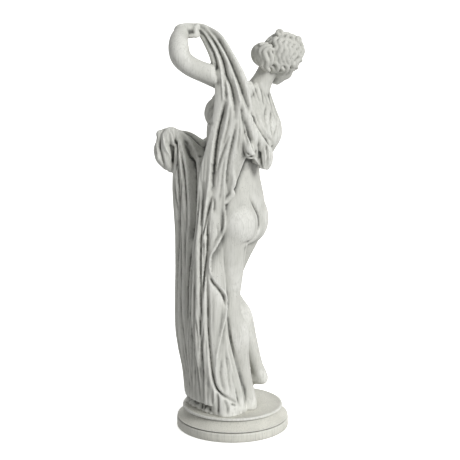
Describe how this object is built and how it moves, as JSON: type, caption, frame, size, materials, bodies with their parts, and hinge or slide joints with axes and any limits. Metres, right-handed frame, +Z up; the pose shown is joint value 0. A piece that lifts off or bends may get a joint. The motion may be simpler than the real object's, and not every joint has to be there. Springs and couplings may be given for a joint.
{
  "type": "draped goddess statuette",
  "caption": "Cast garden statuette of a standing goddess who lifts her drapery over one shoulder and looks back, on a turned round plinth.",
  "frame": {"origin": "centre of the plinth's underside", "axes": "+Z up; the figure's hips face -Y and the raised left arm is on the +X side; the pictured back view looks from azimuth 120 degrees"},
  "size_m": [0.2139, 0.2225, 0.6997],
  "materials": {
    "figure_stone": "pale grey-green cast stone finish with a darker wash left in the recesses, matt",
    "plinth_stone": "the same pale cast stone finish, slightly greyer, with worn light edges, matt"
  },
  "bodies": {
    "root": {"figure": "figure_stone", "plinth": "plinth_stone"}
  },
  "joints": []
}
